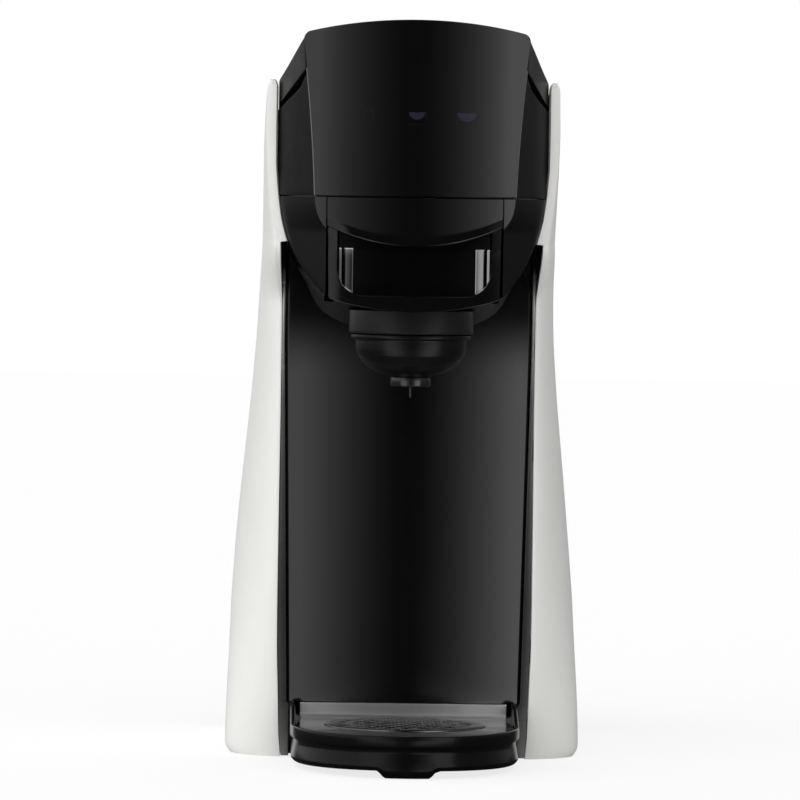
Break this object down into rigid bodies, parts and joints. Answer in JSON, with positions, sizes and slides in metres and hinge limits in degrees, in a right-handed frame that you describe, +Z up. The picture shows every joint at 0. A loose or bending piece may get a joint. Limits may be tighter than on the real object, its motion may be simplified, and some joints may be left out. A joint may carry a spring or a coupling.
{
  "type": "pod coffee machine",
  "caption": "Free-standing pod coffee machine with a lift-up lever, a capsule drawer over the spout, a slide-out drip tray and a lift-off rear water tank.",
  "frame": {"origin": "on the table under the middle of the machine's width and depth", "axes": "+Z up, +X to the viewer's right seen from the front, front facing -Y"},
  "size_m": [0.154, 0.35, 0.3164],
  "materials": {
    "shell_white": "satin warm white",
    "gloss_black": "high gloss black",
    "satin_black": "satin black",
    "trim_dark": "dark gunmetal gloss",
    "chrome_trim": "polished chrome",
    "steel": "fine brushed",
    "aluminium_cast": "as cast",
    "rubber_black": "matte",
    "silicone_seal": "matte silicone",
    "hose_silicone": "translucent silicone",
    "tank_smoke": "smoked clear",
    "frame_grey": "glass filled",
    "board_green": "solder mask",
    "pump_brass": "machined",
    "meter_white": "natural"
  },
  "bodies": {
    "root": {"left_shell": "shell_white", "right_shell": "shell_white", "left_trim": "trim_dark", "right_trim": "trim_dark", "column_cover": "gloss_black", "base_plate": "satin_black", "feet": "rubber_black", "chassis": "frame_grey", "rear_cover": "satin_black", "top_cover": "satin_black", "upper_housing": "satin_black", "lower_housing": "satin_black", "front_panel": "gloss_black", "touch_board": "board_green", "lever_shaft": "steel", "brew_frame": "steel", "guide_posts": "steel", "feed_tube": "steel", "spout_collar": "satin_black", "spout_bowl": "satin_black", "nozzle": "satin_black", "outlet_pin": "steel", "tank_dock": "satin_black", "dock_seal": "rubber_black", "pump": "pump_brass", "pump_mounts": "rubber_black", "thermoblock": "aluminium_cast", "flow_meter": "meter_white", "control_board": "board_green", "suction_hose": "hose_silicone", "pressure_hose": "hose_silicone", "brew_hose": "hose_silicone", "cord_gland": "satin_black", "base_screws": "steel", "cover_screws": "steel"},
    "lever_arm": {"lever": "gloss_black", "lever_cams": "steel"},
    "brew_head": {"brew_yoke": "frame_grey", "yoke_pins": "steel", "brew_piston": "steel", "piston_seal": "silicone_seal"},
    "drawer": {"drawer_front": "gloss_black", "handle_plate": "chrome_trim", "drawer_carriage": "satin_black", "capsule_cup": "steel"},
    "tray": {"drip_tray": "satin_black"},
    "cup_stand": {"cup_plate": "chrome_trim", "grille": "satin_black"},
    "tank": {"water_tank": "tank_smoke", "lid_pins": "steel"},
    "valve": {"tank_valve": "steel"},
    "lid": {"tank_lid": "satin_black"}
  },
  "joints": [
    {"name": "lever_hinge", "type": "hinge", "parent": "root", "child": "lever_arm", "pos_m": [0, -0.058, 0.267], "axis": [-1, 0, 0], "range_deg": [0, 65]},
    {"name": "piston_slide", "type": "slide", "parent": "root", "child": "brew_head", "axis": [0, 0, 1], "range_m": [0, 0.0101]},
    {"name": "drawer_slide", "type": "slide", "parent": "root", "child": "drawer", "axis": [0, -1, 0], "range_m": [0, 0.06]},
    {"name": "tray_slide", "type": "slide", "parent": "root", "child": "tray", "axis": [0, -1, 0], "range_m": [0, 0.08]},
    {"name": "cup_stand_lift", "type": "slide", "parent": "tray", "child": "cup_stand", "axis": [0, 0, 1], "range_m": [0, 0.05]},
    {"name": "tank_lift", "type": "slide", "parent": "root", "child": "tank", "axis": [0, 0, 1], "range_m": [0, 0.08]},
    {"name": "lid_hinge", "type": "hinge", "parent": "tank", "child": "lid", "pos_m": [0, 0.1714, 0.2618], "axis": [-1, 0, 0], "range_deg": [0, 85]},
    {"name": "valve_slide", "type": "slide", "parent": "tank", "child": "valve", "axis": [0, 0, 1], "range_m": [0, 0.003]}
  ],
  "couplings": [
    {"joint": "piston_slide", "follows": "lever_hinge", "m_per_rad": 0.008815}
  ]
}
